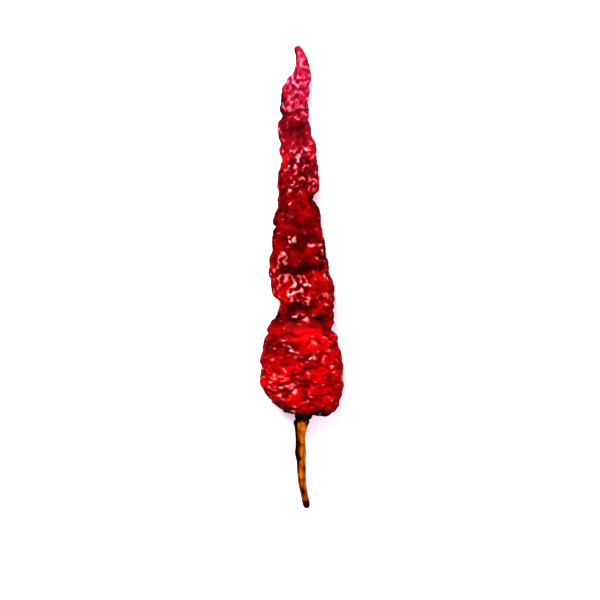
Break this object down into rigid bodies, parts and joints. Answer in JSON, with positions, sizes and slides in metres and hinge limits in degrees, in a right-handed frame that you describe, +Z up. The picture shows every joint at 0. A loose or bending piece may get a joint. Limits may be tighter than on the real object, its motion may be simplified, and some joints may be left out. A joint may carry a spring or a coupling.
{
  "type": "dried chilli",
  "caption": "Whole dried red chilli lying on its side, with a long shrivelled pod, a deep waist above a full bulb, a small toothed calyx and a thin grooved stalk.",
  "frame": {"origin": "on the surface that the chilli lies on, under the middle of its bounding box", "axes": "+Y along the chilli from the stalk to the tip, +X to its right as seen from above with the tip away, +Z up"},
  "size_m": [0.027, 0.1486, 0.018],
  "materials": {
    "chilli_skin": "deep red waxy fruit skin, shrivelled and glossy",
    "dry_calyx": "dark brown dried leaf tissue, dull",
    "dry_stalk": "golden brown dried plant fibre with dark streaks, dull satin"
  },
  "bodies": {
    "root": {"pod": "chilli_skin", "calyx": "dry_calyx", "stalk": "dry_stalk"}
  },
  "joints": []
}
